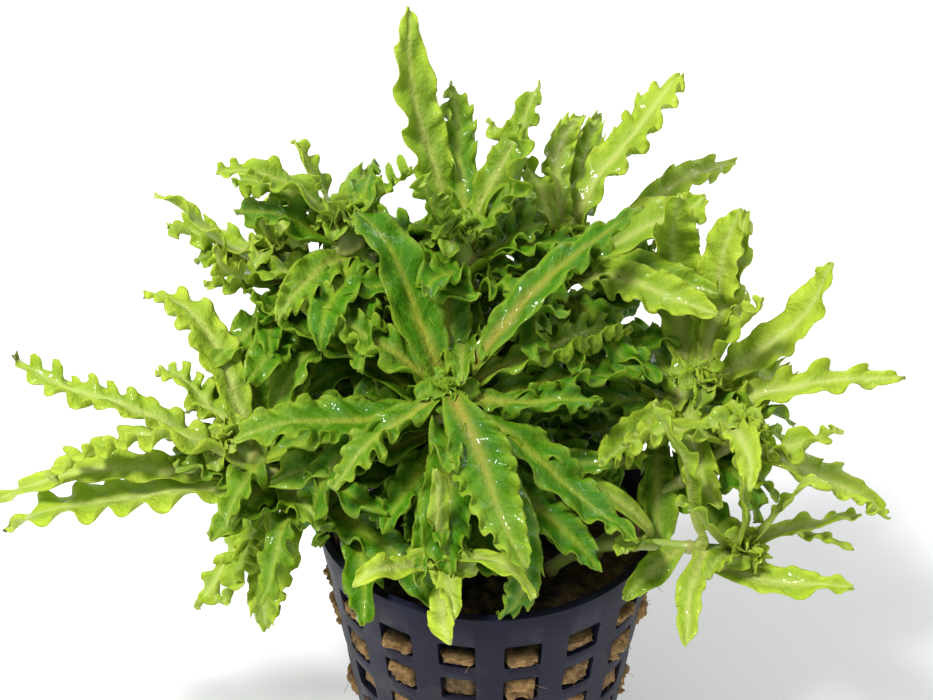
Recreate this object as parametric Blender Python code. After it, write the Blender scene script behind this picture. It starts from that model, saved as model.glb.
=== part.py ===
"""Potted pogostemon: a bushy bunch of crinkle-leaved aquatic plants, wedged by a
rock wool plug into a slatted net pot.

Metres, +Z up. The origin is the middle of the pot's flat base, -Y is the front of
the bunch and +X its right. Sizes are in metres; a shoot's or a leaf's own row is in
millimetres and degrees. A bearing is counted from +X towards +Y, so 90 is the back.
"""

import math
from collections import namedtuple

import bmesh
import bpy
from mathutils import Vector
from mathutils.bvhtree import BVHTree

MM = 0.001

# Fits
GAP = 0.3 * MM  # air between touching pieces

# Net pot
POT_HEIGHT = 0.050
RIM_RADIUS = 0.026
BASE_RADIUS = 0.0183
POT_WALL = 0.0012
BASE_CHAMFER = 0.0008
COLUMNS = 16  # windows round the pot
WINDOW_SHARE = 0.57  # of a column's width, the rest is a rib
WINDOW_HEIGHT = 0.0048
WINDOW_PITCH = 0.0075
TOP_BAND = 0.0058  # plain wall between the rim and the first row
BOTTOM_BAND = 0.006  # least plain wall under the last row

# Rock wool plug
WOOL_BELOW_RIM = 0.0085
WOOL_MOUND = 0.0015
PLANTING_DEPTH = 0.006

# Stems
STEM_RADIUS = 0.0011
CROWN_RADIUS = 0.0008  # the stem's growing tip
STEM_SIDES_STEP = 2  # bevel resolution: 8 sides
STEM_POINTS = 14

# Leaves
LEAF_THICKNESS = 0.0010
PETIOLE_WIDTH = 0.0015
WHORL_PITCH = 0.0020
FIRST_WHORL = 0.0010  # below the growing tip
LEAF_STATIONS = 8
FOLD = 0.16  # how far the edges stand above the midrib, as a share of the half width
WIDEST = 0.85  # below 1 puts the widest place nearer the tip
FULLNESS = 0.75  # below 1 keeps the blade wide for longer

# The pot's wall line
WALL_SLOPE = (RIM_RADIUS - BASE_RADIUS) / POT_HEIGHT
WALL_LEAN = math.hypot(1.0, WALL_SLOPE)  # a wall's horizontal cut over its thickness
WOOL_TOP = POT_HEIGHT - WOOL_BELOW_RIM

# root: share of the wool's radius and bearing. lip: share of the pot's inner radius,
# bearing and height above the rim, where the stem passes the pot's mouth.
# crown: x, y and height above the rim, where the stem ends in its growing tip.
Shoot = namedtuple("Shoot", "name root lip crown")
SHOOTS = (
    Shoot("centre", (0.25, 225), (0.28, 230, 0), (-6, -8, 29)),
    Shoot("left", (0.62, 205), (0.84, 200, 1), (-39, -5, 17)),
    Shoot("left_back", (0.65, 148), (0.84, 148, 2), (-33, 20, 34)),
    Shoot("left_top", (0.50, 128), (0.60, 130, 4), (-22, 13, 44)),
    Shoot("top_left", (0.42, 95), (0.45, 98, 4), (-5, 12, 43)),
    Shoot("top_right", (0.55, 58), (0.60, 60, 4), (11, 18, 38)),
    Shoot("right", (0.66, 25), (0.80, 18, 3), (32, 5, 21)),
    Shoot("right_side", (0.70, 345), (0.86, 345, 2), (38, -4, 18)),
    Shoot("runner", (0.50, 320), (0.87, 327, 2.5), (38, -14, 3)),
    Shoot("front", (0.78, 252), (0.84, 254, 1), (-7, -24, 10)),
)

# whorl: counted down the stem from its tip. rise: the base's slope above level.
# droop: how far the slope falls from base to tip. sweep: how far the bearing turns.
Leaf = namedtuple("Leaf", "whorl bearing rise droop sweep length width")
LEAVES = {
    "centre": (
        Leaf(1, 125, 55, 30, -5, 28, 7.5),
        Leaf(1, 30, 50, 55, 15, 38, 6),
        Leaf(1, 285, 0, 45, 10, 31, 6.5),
        Leaf(1, 235, -5, 25, 5, 21, 4.5),
        Leaf(2, 85, 65, 60, 10, 26, 5),
        Leaf(2, 160, 45, 40, -10, 26, 5),
        Leaf(2, 25, 25, 50, 15, 31, 4.5),
        Leaf(2, 340, -20, 0, 5, 32, 6),
        Leaf(3, 195, 5, 5, -5, 30, 7),
        Leaf(3, 15, 10, 30, 10, 29, 4.5),
        Leaf(4, 160, 25, 15, -10, 36, 8),
        Leaf(5, 195, -5, 20, -10, 27, 5.5),
        Leaf(5, 245, -5, 70, 5, 22, 6),
    ),
    "left": (
        Leaf(2, 175, 35, 50, -25, 36, 4.5),
        Leaf(2, 120, 70, 105, 15, 32, 5.5),
        Leaf(3, 185, 30, 90, -20, 32, 4.5),
        Leaf(4, 188, 14, 66, -42, 43, 3.5),
        Leaf(6, 190, 10, 45, -25, 43, 7),
        Leaf(7, 215, -30, 40, -15, 22, 3.5),
        Leaf(8, 245, -25, 60, -5, 20, 5),
    ),
    "left_back": (
        Leaf(2, 185, 45, 0, -5, 21, 4),
        Leaf(3, 230, 20, -50, 15, 19, 3),
    ),
    "left_top": (
        Leaf(2, 190, 75, 85, -10, 22, 5.5),
        Leaf(1, 190, 60, 0, 0, 16, 3),
    ),
    "top_left": (
        Leaf(2, 5, 45, -50, 0, 21, 5.5),
        Leaf(3, 50, 65, 10, 0, 26, 4),
        Leaf(4, 120, 65, 5, 0, 37, 6),
    ),
    "top_right": (
        Leaf(2, 130, 85, 95, -5, 24, 3),
        Leaf(2, 48, 62, 65, 0, 34, 5.5),
        Leaf(3, 15, 15, 15, 25, 24, 6.5),
        Leaf(4, 325, 20, 30, 0, 26, 5),
        Leaf(5, 25, 52, 55, 15, 39, 4),
    ),
    "right": (
        Leaf(1, 50, 60, -35, 0, 26, 5.5),
        Leaf(2, 20, 15, -65, -5, 28, 5.5),
        Leaf(3, 355, 20, 35, 20, 31, 4),
        Leaf(2, 105, 40, -85, 5, 31, 6),
        Leaf(3, 280, -20, -5, 15, 20, 4.5),
        Leaf(3, 225, -5, -15, 25, 21, 5),
    ),
    "right_side": (
        Leaf(2, 350, -10, 35, 10, 25, 5.5),
        Leaf(2, 280, 60, 125, -5, 17, 3.5),
    ),
    "runner": (
        Leaf(2, 10, 5, 45, 0, 19, 3),
        Leaf(4, 340, -10, -30, 10, 22, 4),
        Leaf(4, 255, -20, 70, 5, 16, 3),
        Leaf(4, 200, 80, 10, 10, 28, 3),
        Leaf(8, 160, 50, 90, 5, 24, 3),
    ),
    "front": (
        Leaf(1, 215, 35, 40, 10, 14, 3),
        Leaf(1, 325, 45, 90, -10, 16, 3),
        Leaf(3, 260, 15, 5, 35, 17, 3),
    ),
}

# A leaf that would touch a placed piece tries small turns, the smallest first.
TURN_STEP = 4  # degrees
TURN_REACH = 15  # steps each way
TURNS = sorted(
    (
        (side * TURN_STEP, lift * TURN_STEP)
        for side in range(-TURN_REACH, TURN_REACH + 1)
        for lift in range(-TURN_REACH, TURN_REACH + 1)
    ),
    key=lambda turn: (turn[0] ** 2 + turn[1] ** 2, turn),
)


def clear_scene():
    for obj in list(bpy.data.objects):
        bpy.data.objects.remove(obj)


def material(name, colour, roughness, metallic=0.0):
    made = bpy.data.materials.new(name)
    made.use_nodes = True
    shader = made.node_tree.nodes["Principled BSDF"]
    shader.inputs["Base Color"].default_value = (*colour, 1.0)
    shader.inputs["Roughness"].default_value = roughness
    shader.inputs["Metallic"].default_value = metallic
    made.diffuse_color = (*colour, 1.0)
    return made


def add_object(name, data, surface):
    data.materials.append(surface)
    obj = bpy.data.objects.new(name, data)
    bpy.context.collection.objects.link(obj)
    return obj


def mesh_from(name, points, faces):
    mesh = bpy.data.meshes.new(name)
    mesh.from_pydata(points, [], faces)
    return mesh


def polar(radius, bearing, z):
    angle = math.radians(bearing)
    return Vector((radius * math.cos(angle), radius * math.sin(angle), z))


# ---------------------------------------------------------------- net pot


def outer_radius(z):
    return BASE_RADIUS + WALL_SLOPE * z


def inner_radius(z):
    return outer_radius(z) - POT_WALL * WALL_LEAN


def column_bearings():
    """Two bearings for each column, where its window starts and where it ends."""
    column = 360.0 / COLUMNS
    half_window = column * WINDOW_SHARE / 2
    # The front falls between two columns.
    middles = [270 + column * (k + 0.5) for k in range(COLUMNS)]
    return [middle + side for middle in middles for side in (-half_window, half_window)]


def window_rows():
    """The bottom and top height of each row of windows, from the base up."""
    rows = []
    top = POT_HEIGHT - TOP_BAND
    while top - WINDOW_HEIGHT > BOTTOM_BAND:
        rows.append((top - WINDOW_HEIGHT, top))
        top -= WINDOW_PITCH
    return rows[::-1]


def turned_sheet(name, profile, bearings, window_levels=()):
    """A sheet turned round Z from a profile of (radius, z), its first ring filled.

    Faces whose lower profile point is in window_levels are left open in every column.
    """
    bm = bmesh.new()
    rings = [[bm.verts.new(polar(r, b, z)) for b in bearings] for r, z in profile]
    count = len(bearings)
    bm.faces.new(reversed(rings[0]))
    for level, (low, high) in enumerate(zip(rings, rings[1:])):
        for k in range(count):
            is_window = k % 2 == 0 and level in window_levels
            if not is_window:
                n = (k + 1) % count
                bm.faces.new((low[k], low[n], high[n], high[k]))
    mesh = bpy.data.meshes.new(name)
    bm.to_mesh(mesh)
    bm.free()
    return mesh


def make_net_pot(surface):
    heights = [BASE_CHAMFER]
    window_levels = set()
    for low, high in window_rows():
        window_levels.add(len(heights) + 1)
        heights += [low, high]
    heights.append(POT_HEIGHT)
    profile = [(BASE_RADIUS - BASE_CHAMFER, 0.0)]
    profile += [(outer_radius(z), z) for z in heights]
    mesh = turned_sheet("net_pot", profile, column_bearings(), window_levels)
    pot = add_object("net_pot", mesh, surface)
    wall = pot.modifiers.new("Wall", "SOLIDIFY")
    wall.thickness = POT_WALL
    wall.offset = -1.0
    wall.use_even_offset = True
    return pot


# ---------------------------------------------------------------- rock wool plug


def make_wool_plug(roots, surface):
    bottom = POT_WALL + BASE_CHAMFER + GAP
    chamfer_run = BASE_CHAMFER + GAP
    side_gap = GAP * WALL_LEAN
    profile = [
        (inner_radius(bottom) - side_gap - chamfer_run, bottom),
        (inner_radius(bottom + chamfer_run) - side_gap, bottom + chamfer_run),
        (inner_radius(WOOL_TOP) - side_gap, WOOL_TOP),
        (0.6 * inner_radius(WOOL_TOP), WOOL_TOP + 0.8 * WOOL_MOUND),
        (0.2 * inner_radius(WOOL_TOP), WOOL_TOP + WOOL_MOUND),
    ]
    mesh = turned_sheet("rock_wool_plug", profile, column_bearings())
    bm = bmesh.new()
    bm.from_mesh(mesh)
    bmesh.ops.holes_fill(bm, edges=[e for e in bm.edges if e.is_boundary], sides=0)
    bm.to_mesh(mesh)
    bm.free()
    plug = add_object("rock_wool_plug", mesh, surface)
    for number, root in enumerate(roots, 1):
        cut_planting_hole(plug, number, root)
    return plug


def cut_planting_hole(plug, number, root):
    """A round hole in the plug's top, where a stem was pushed in."""
    depth = PLANTING_DEPTH + GAP
    height = depth + WOOL_MOUND + STEM_RADIUS
    bm = bmesh.new()
    bmesh.ops.create_cone(
        bm,
        cap_ends=True,
        segments=12,
        radius1=STEM_RADIUS + GAP,
        radius2=2.5 * STEM_RADIUS,
        depth=height,
    )
    centre = Vector((root.x, root.y, WOOL_TOP - depth + height / 2))
    bmesh.ops.translate(bm, verts=bm.verts, vec=centre)
    mesh = bpy.data.meshes.new(f"planting_hole_{number}")
    bm.to_mesh(mesh)
    bm.free()
    cutter = bpy.data.objects.new(mesh.name, mesh)
    bpy.context.collection.objects.link(cutter)
    cutter.hide_render = True
    cutter.display_type = "WIRE"
    cut = plug.modifiers.new(mesh.name, "BOOLEAN")
    cut.operation = "DIFFERENCE"
    cut.object = cutter


# ---------------------------------------------------------------- stems


def root_of(shoot):
    share, bearing = shoot.root
    return polar(share * inner_radius(WOOL_TOP), bearing, WOOL_TOP)


def stem_route(shoot):
    """The stem's own points: straight up out of the wool, past the rim, to its tip."""
    root = root_of(shoot)
    share, bearing, lift = shoot.lip
    lip = polar(share * inner_radius(POT_HEIGHT), bearing, POT_HEIGHT + lift * MM)
    x, y, above = shoot.crown
    crown = Vector((x * MM, y * MM, POT_HEIGHT + above * MM))
    up = Vector((0, 0, 1))
    return [root - PLANTING_DEPTH * up, root + (WOOL_MOUND + STEM_RADIUS) * up, lip, crown]


def smooth_line(route, count):
    """Evenly spaced points on a smooth curve through the route's points."""
    ends = [2 * route[0] - route[1], *route, 2 * route[-1] - route[-2]]
    fine = []
    for a, b, c, d in zip(ends, ends[1:], ends[2:], ends[3:]):
        for k in range(12):
            t = k / 12
            fine.append(
                0.5 * (2 * b + (c - a) * t + (2 * a - 5 * b + 4 * c - d) * t**2
                       + (3 * b - a - 3 * c + d) * t**3)
            )
    fine.append(route[-1])
    run = [0.0]
    for p, q in zip(fine, fine[1:]):
        run.append(run[-1] + (q - p).length)
    return [point_along(fine, run, run[-1] * k / (count - 1))[0] for k in range(count)]


def point_along(line, run, distance):
    """The point and the direction of a line at a distance from its start."""
    for k in range(len(line) - 1):
        if run[k + 1] >= distance or k == len(line) - 2:
            step = line[k + 1] - line[k]
            share = (distance - run[k]) / (run[k + 1] - run[k])
            return line[k] + step * share, step.normalized()


def make_stem(name, line, surface):
    curve = bpy.data.curves.new(name, "CURVE")
    curve.dimensions = "3D"
    curve.bevel_depth = 1.0
    curve.bevel_resolution = STEM_SIDES_STEP
    curve.use_fill_caps = True
    spline = curve.splines.new("POLY")
    spline.points.add(len(line) - 1)
    for k, (point, place) in enumerate(zip(spline.points, line)):
        share = k / (len(line) - 1)
        point.co = (*place, 1.0)
        point.radius = STEM_RADIUS + (CROWN_RADIUS - STEM_RADIUS) * share**2
    return add_object(name, curve, surface)


# ---------------------------------------------------------------- leaves


def leaf_width(share, width):
    """The blade's width at a share of its length: a narrow base, then a long oval."""
    oval = math.sin(math.pi * share**WIDEST) ** FULLNESS
    return PETIOLE_WIDTH + (width - PETIOLE_WIDTH) * oval


def leaf_shape(start, leaf, turn, grow):
    """Points and faces of a leaf's solid: rings of four points, closed by a point.

    grow makes it that much bigger all round, which leaves air between two leaves.
    """
    points, faces = [], []
    place = start.copy()
    step = leaf.length * MM / LEAF_STATIONS
    half_thickness = LEAF_THICKNESS / 2 + grow
    for k in range(LEAF_STATIONS):
        share = k / LEAF_STATIONS
        bearing = math.radians(leaf.bearing + turn[0] + leaf.sweep * share)
        slope = math.radians(leaf.rise + turn[1] - leaf.droop * share)
        out = Vector((math.cos(bearing), math.sin(bearing), 0))
        along = out * math.cos(slope) + Vector((0, 0, math.sin(slope)))
        face = -out * math.sin(slope) + Vector((0, 0, math.cos(slope)))
        side = along.cross(face)
        half = leaf_width(share, leaf.width * MM) / 2 + grow
        lift = face * half * FOLD
        centre = place if k else place - along * grow
        points += [
            centre - side * half + lift,
            centre + face * half_thickness,
            centre + side * half + lift,
            centre - face * half_thickness,
        ]
        place = place + along * step
    points.append(place + along * grow)
    faces.append((3, 2, 1, 0))
    for k in range(LEAF_STATIONS - 1):
        a, b = 4 * k, 4 * (k + 1)
        for i in range(4):
            j = (i + 1) % 4
            faces.append((a + i, a + j, b + j, b + i))
    last, tip = 4 * (LEAF_STATIONS - 1), 4 * LEAF_STATIONS
    faces += [(last + i, last + (i + 1) % 4, tip) for i in range(4)]
    return points, faces


def leaf_start(line, run, leaf, turn):
    """Where the leaf's base stands, just off the stem's skin at its whorl."""
    down = FIRST_WHORL + (leaf.whorl - 1) * WHORL_PITCH
    centre, axis = point_along(line, run, run[-1] - down)
    bearing = math.radians(leaf.bearing + turn[0])
    slope = math.radians(leaf.rise + turn[1])
    along = Vector((
        math.cos(slope) * math.cos(bearing),
        math.cos(slope) * math.sin(bearing),
        math.sin(slope),
    ))
    across = along - axis * along.dot(axis)
    if across.length < 0.1:  # a leaf in line with its stem leans on its outer side
        across = Vector((math.cos(bearing), math.sin(bearing), 0))
        across -= axis * across.dot(axis)
    lean = abs(along.dot(axis)) * (LEAF_THICKNESS / 2 + GAP)
    return centre + across.normalized() * (STEM_RADIUS + GAP + lean)


def tree_of(obj):
    """A search tree of the finished shape of a piece, for finding touches."""
    shown = obj.evaluated_get(bpy.context.evaluated_depsgraph_get())
    mesh = shown.to_mesh()
    tree = BVHTree.FromPolygons(
        [obj.matrix_world @ v.co for v in mesh.vertices],
        [tuple(face.vertices) for face in mesh.polygons],
    )
    shown.to_mesh_clear()
    return tree


def edge_places(points):
    """Places along both edges of a leaf's blade, where growing it adds little room."""
    places = []
    for side in (0, 2):
        rim = points[side:-1:4] + [points[-1]]
        for a, b in zip(rim, rim[1:]):
            places += [a.lerp(b, k / 4) for k in range(4)]
    return places


def settle(line, run, leaf, placed):
    """The smallest turn that keeps the leaf clear of every placed piece."""
    for turn in TURNS:
        start = leaf_start(line, run, leaf, turn)
        grown = BVHTree.FromPolygons(*leaf_shape(start, leaf, turn, GAP))
        if any(grown.overlap(tree) for tree in placed):
            continue
        edges = edge_places(leaf_shape(start, leaf, turn, 0.0)[0])
        near = 0.9 * GAP
        if not any(tree.find_nearest(p, near)[0] for p in edges for tree in placed):
            return start, turn
    return leaf_start(line, run, leaf, (0, 0)), (0, 0)


def make_leaf(name, line, run, leaf, placed, surface):
    start, turn = settle(line, run, leaf, placed)
    obj = add_object(name, mesh_from(name, *leaf_shape(start, leaf, turn, 0.0)), surface)
    placed.append(tree_of(obj))
    return obj


def lengths_along(line):
    run = [0.0]
    for p, q in zip(line, line[1:]):
        run.append(run[-1] + (q - p).length)
    return run


# ---------------------------------------------------------------- assembly


def main():
    clear_scene()
    plastic = material("pot_plastic", (0.035, 0.035, 0.06), 0.4)
    wool = material("rock_wool", (0.24, 0.15, 0.07), 0.95)
    stem_skin = material("stem_skin", (0.42, 0.55, 0.16), 0.4)
    leaf_skin = material("leaf_skin", (0.16, 0.42, 0.03), 0.35)

    pot = make_net_pot(plastic)
    plug = make_wool_plug([root_of(shoot) for shoot in SHOOTS], wool)
    lines = {s.name: smooth_line(stem_route(s), STEM_POINTS) for s in SHOOTS}
    stems = [make_stem(f"stem_{name}", line, stem_skin) for name, line in lines.items()]
    bpy.context.view_layer.update()

    placed = [tree_of(piece) for piece in (pot, plug, *stems)]
    for name, line in lines.items():
        run = lengths_along(line)
        for number, leaf in enumerate(LEAVES[name], 1):
            make_leaf(f"leaf_{name}_{number}", line, run, leaf, placed, leaf_skin)


main()
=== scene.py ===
# %% [markdown]
# # A potted pogostemon
#
# Pogostemon is an aquarium plant with narrow leaves whose edges are crinkled like a
# lettuce's. It is sold in a net pot, packed with rock wool. This lesson dresses the
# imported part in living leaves, round stems, moulded plastic and fibrous wool. All sizes
# are in metres, +Z is up, and the front of the bunch faces -Y.
#
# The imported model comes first, as a frame that nothing here moves. Each new piece is
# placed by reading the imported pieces: where a stem runs, how a leaf arches.

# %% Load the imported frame
import math

import bpy
import numpy as np
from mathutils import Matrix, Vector, noise


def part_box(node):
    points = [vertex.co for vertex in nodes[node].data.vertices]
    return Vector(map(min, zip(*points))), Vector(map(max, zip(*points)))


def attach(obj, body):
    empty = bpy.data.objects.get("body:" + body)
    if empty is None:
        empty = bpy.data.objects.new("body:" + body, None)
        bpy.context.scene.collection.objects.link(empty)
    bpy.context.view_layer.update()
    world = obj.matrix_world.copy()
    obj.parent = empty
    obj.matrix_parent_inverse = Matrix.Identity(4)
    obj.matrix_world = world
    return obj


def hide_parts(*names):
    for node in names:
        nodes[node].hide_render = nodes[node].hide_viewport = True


MM = 0.001
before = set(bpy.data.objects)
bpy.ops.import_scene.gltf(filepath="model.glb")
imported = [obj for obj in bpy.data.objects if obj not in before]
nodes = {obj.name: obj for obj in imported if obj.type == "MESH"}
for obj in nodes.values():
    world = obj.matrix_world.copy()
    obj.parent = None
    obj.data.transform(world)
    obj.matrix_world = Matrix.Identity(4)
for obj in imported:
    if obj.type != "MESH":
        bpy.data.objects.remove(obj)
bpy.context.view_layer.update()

# %% [markdown]
# An operator acts on all that is selected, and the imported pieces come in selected. So
# everything is deselected before each new piece, and faces and edges are picked in code.

# %% Helpers for working by hand in code
TAU = 2 * math.pi


def deselect_all():
    if bpy.context.object and bpy.context.object.mode != "OBJECT":
        bpy.ops.object.mode_set(mode="OBJECT")
    bpy.ops.object.select_all(action="DESELECT")


def work_on(piece):
    deselect_all()
    piece.select_set(True)
    bpy.context.view_layer.objects.active = piece


def named(name):
    piece = bpy.context.object
    piece.name = name
    piece.data.name = name
    return piece


def apply_modifier(piece, kind, **settings):
    work_on(piece)
    modifier = piece.modifiers.new(kind.title(), kind)
    for key, value in settings.items():
        setattr(modifier, key, value)
    bpy.ops.object.modifier_apply(modifier=modifier.name)


def edit(piece, step, pick):
    """Runs one edit-mode step on the picked vertices, edges or faces of a piece."""
    work_on(piece)
    bpy.context.tool_settings.mesh_select_mode = [
        pick == kind for kind in ("VERT", "EDGE", "FACE")
    ]
    bpy.ops.object.mode_set(mode="EDIT")
    step()
    bpy.ops.mesh.select_all(action="DESELECT")
    bpy.ops.object.mode_set(mode="OBJECT")


def ringed_cylinder(name, sides, cuts, fill="NGON"):
    """An upright unit cylinder, cut into rings by dividing its long edges."""
    deselect_all()
    bpy.ops.mesh.primitive_cylinder_add(
        vertices=sides, radius=1, depth=1, end_fill_type=fill, location=(0, 0, 0.5)
    )
    piece = named(name)
    bpy.ops.object.transform_apply(location=True)
    for item in (*piece.data.vertices, *piece.data.polygons):
        item.select = False
    for edge in piece.data.edges:
        low, high = (piece.data.vertices[v].co.z for v in edge.vertices)
        edge.select = abs(high - low) > 0.5
    edit(piece, lambda: bpy.ops.mesh.subdivide(number_cuts=cuts), "EDGE")
    bpy.ops.object.shade_smooth()
    return piece


def places_of(mesh):
    flat = np.empty(len(mesh.vertices) * 3)
    mesh.vertices.foreach_get("co", flat)
    return flat.reshape(-1, 3)


def put_places(mesh, places):
    mesh.vertices.foreach_set("co", np.ascontiguousarray(places, dtype=float).ravel())
    mesh.update()


def mark(mesh, name, values):
    """Stores one number for each vertex, which a material can read by its name."""
    layer = mesh.attributes.new(name, "FLOAT", "POINT")
    layer.data.foreach_set("value", np.ascontiguousarray(values, dtype=np.float32))


def smoothstep(low, high, x):
    t = np.clip((x - low) / (high - low), 0, 1)
    return t * t * (3 - 2 * t)


def linear(hex_colour):
    """An sRGB hex colour as linear red, green, blue and alpha."""
    parts = [int(hex_colour[k : k + 2], 16) / 255 for k in (1, 3, 5)]
    return (*(c / 12.92 if c < 0.04045 else ((c + 0.055) / 1.055) ** 2.4 for c in parts), 1)


# %% [markdown]
# ## Camera and light
#
# The bunch stands on plain white paper, seen from the front and from 35 degrees above,
# through a long lens, so that near and far leaves keep the same scale. One large soft
# lamp from the upper left gives the wet leaves their small bright glints, a weaker one
# behind lights the far leaves' edges, and the white room fills the shadows.

# %% Camera
camera_data = bpy.data.cameras.new("camera")
camera_data.lens = 100
camera_data.sensor_width = 36
camera_data.clip_start = 0.01
camera = bpy.data.objects.new("camera", camera_data)
camera.location = (-0.003385, -0.305834, 0.293169)
camera.rotation_euler = (math.radians(55), 0, 0)
bpy.context.scene.collection.objects.link(camera)
bpy.context.scene.camera = camera

# %% Light and floor
scene = bpy.context.scene
scene.view_settings.view_transform = "Standard"
scene.view_settings.look = "None"
world = bpy.data.worlds.new("white_room")
world.use_nodes = True
world.node_tree.nodes["Background"].inputs["Color"].default_value = linear("#f7f9fc")
world.node_tree.nodes["Background"].inputs["Strength"].default_value = 0.62
scene.world = world


def add_lamp(name, place, aim, size, watts):
    lamp = bpy.data.lights.new(name, "AREA")
    lamp.size = size
    lamp.energy = watts
    lamp_object = bpy.data.objects.new(name, lamp)
    lamp_object.location = place
    lamp_object.rotation_euler = (Vector(aim) - Vector(place)).to_track_quat("-Z", "Y").to_euler()
    scene.collection.objects.link(lamp_object)


add_lamp("soft_lamp", (-0.26, -0.20, 0.62), (0, 0, 0.06), 0.13, 5.1)
add_lamp("back_lamp", (0.30, 0.42, 0.50), (0, 0, 0.06), 0.30, 1.4)

# %% [markdown]
# ## Finishes
#
# One small function adds a shader node with its settings and its links, and every finish
# below is written with it.

# %% A node at a time


def add_node(material, kind, inputs=None, out=0, **settings):
    """Adds a node with its settings and links, and gives back one of its outputs.

    Inputs are sockets to link, or plain values.
    """
    node = material.node_tree.nodes.new("ShaderNode" + kind)
    for key, value in settings.items():
        setattr(node, key, value)
    for key, value in (inputs or {}).items():
        if isinstance(value, bpy.types.NodeSocket):
            material.node_tree.links.new(value, node.inputs[key])
        else:
            node.inputs[key].default_value = value
    return node.outputs[out]


def new_finish(name, **even_values):
    """A material with a Principled shader, whose even values go on its own sockets."""
    material = bpy.data.materials.new(name)
    material.use_nodes = True
    shader = material.node_tree.nodes["Principled BSDF"]
    for key, value in even_values.items():
        shader.inputs[key.replace("_", " ")].default_value = value
    return material, shader


def feed(material, source, shader, name):
    material.node_tree.links.new(source, shader.inputs[name])


# %% [markdown]
# ### Living leaf
#
# A leaf is a thin wet sheet that light soaks into, so it needs subsurface scattering:
# green light travels furthest, and thin edges glow yellow. Its cells give it a satin
# gloss, and a film of water a sharper one on top, which is the coat. Old inner leaves
# are deep green, and young or well-lit ones are lime. The midrib is a pale stripe with a
# brown-pink blush, and faint side veins leave it every 2.2 mm.

# %% Leaf finish
VEIN_SPACING = 2.2 * MM
leaf_finish, leaf_shader = new_finish(
    "living_leaf_wet",
    IOR=1.40,
    Specular_IOR_Level=0.20,
    Subsurface_Weight=0.24,
    Subsurface_Radius=(0.65, 1.0, 0.12),
    Subsurface_Scale=0.0007,
    Coat_Roughness=0.07,
)

# %% Leaf greens
m = leaf_finish
where = add_node(m, "TexCoord", out="Object")
youth, across, vein, rib, blush, scorch = (
    add_node(m, "Attribute", out="Fac", attribute_name=mark_name)
    for mark_name in ("youth", "across", "vein", "rib", "blush", "scorch")
)
# Patches are about 9 mm across and cells 0.3 mm, because real cells, at 0.05 mm, are too
# fine to show.
patches, film, speckles, puckers, cells = (
    add_node(m, "TexNoise", {"Vector": where, "Scale": scale, "Detail": detail}, out="Fac")
    for scale, detail in (
        (110.0, 2.0), (190.0, 2.0), (650.0, 3.0), (950.0, 1.0), (3200.0, 2.0),
    )
)
deep_green, lime_green = (
    add_node(
        m, "Mix", {0: patches, 6: linear(dark), 7: linear(light)}, out=2, data_type="RGBA"
    )
    for dark, light in (("#2b5a03", "#4a8207"), ("#8fab18", "#b9c846"))
)
# The blade is lighter and more yellow towards its crinkled edge.
edge = add_node(
    m, "MapRange", {"Value": across, "From Min": 0.45, "From Max": 1.0},
    interpolation_type="SMOOTHSTEP",
)
ripeness = add_node(m, "Math", {0: edge, 1: 0.36, 2: youth}, operation="MULTIPLY_ADD")
mottled = add_node(m, "Math", {0: speckles, 1: 0.24, 2: ripeness}, operation="MULTIPLY_ADD")
greenness = add_node(m, "Math", {0: mottled, 1: 0.2}, operation="SUBTRACT", use_clamp=True)
green = add_node(
    m, "Mix", {0: greenness, 6: deep_green, 7: lime_green}, out=2, data_type="RGBA"
)

# %% Leaf veins, midrib, old edges and tips
turn = add_node(m, "Math", {0: vein, 1: TAU}, operation="MULTIPLY")
ripple = add_node(m, "Math", {0: turn}, operation="COSINE")
half_ripple = add_node(m, "Math", {0: ripple, 1: 0.5, 2: 0.5}, operation="MULTIPLY_ADD")
line = add_node(m, "Math", {0: half_ripple, 1: 10.0}, operation="POWER")
fading = add_node(
    m, "MapRange", {"Value": across, "From Min": 0.9, "From Max": 0.1, "To Max": 0.15}
)
vein_line = add_node(m, "Math", {0: line, 1: fading}, operation="MULTIPLY")
pale_rib = add_node(
    m, "Mix", {0: youth, 6: linear("#98b02c"), 7: linear("#cfd98a")},
    out=2, data_type="RGBA",
)
rib_colour = add_node(
    m, "Mix", {0: blush, 6: pale_rib, 7: linear("#96803a")}, out=2, data_type="RGBA"
)
rib_share = add_node(m, "Math", {0: rib, 1: 0.95}, operation="MULTIPLY")
rim_line = add_node(
    m, "MapRange", {"Value": across, "From Min": 0.9, "From Max": 1.0, "To Max": 0.28}
)
for share, colour in (
    (vein_line, linear("#a0b83c")),
    (rib_share, rib_colour),
    (rim_line, linear("#6a6d18")),
    (scorch, linear("#4a3416")),
):
    green = add_node(m, "Mix", {0: share, 6: green, 7: colour}, out=2, data_type="RGBA")
feed(m, green, leaf_shader, "Base Color")

# %% Leaf gloss and cells
gloss = add_node(
    m, "MapRange",
    {"Value": speckles, "From Min": 0.3, "From Max": 0.7, "To Min": 0.4, "To Max": 0.62},
)
feed(m, gloss, leaf_shader, "Roughness")
wetness = add_node(
    m, "MapRange", {"Value": film, "From Min": 0.46, "From Max": 0.66, "To Max": 0.55}
)
feed(m, wetness, leaf_shader, "Coat Weight")
relief = add_node(m, "Math", {0: puckers, 1: 2.4, 2: cells}, operation="MULTIPLY_ADD")
leaf_bump = add_node(m, "Bump", {"Height": relief, "Strength": 0.8, "Distance": 0.00018})
feed(m, leaf_bump, leaf_shader, "Normal")
water_bump = add_node(m, "Bump", {"Height": puckers, "Strength": 0.6, "Distance": 0.0004})
feed(m, water_bump, leaf_shader, "Coat Normal")

# %% [markdown]
# ### Stem skin
#
# The stems are pale green and a little see-through, with a pink ring at each node, where
# a whorl of leaves sits.

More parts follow.
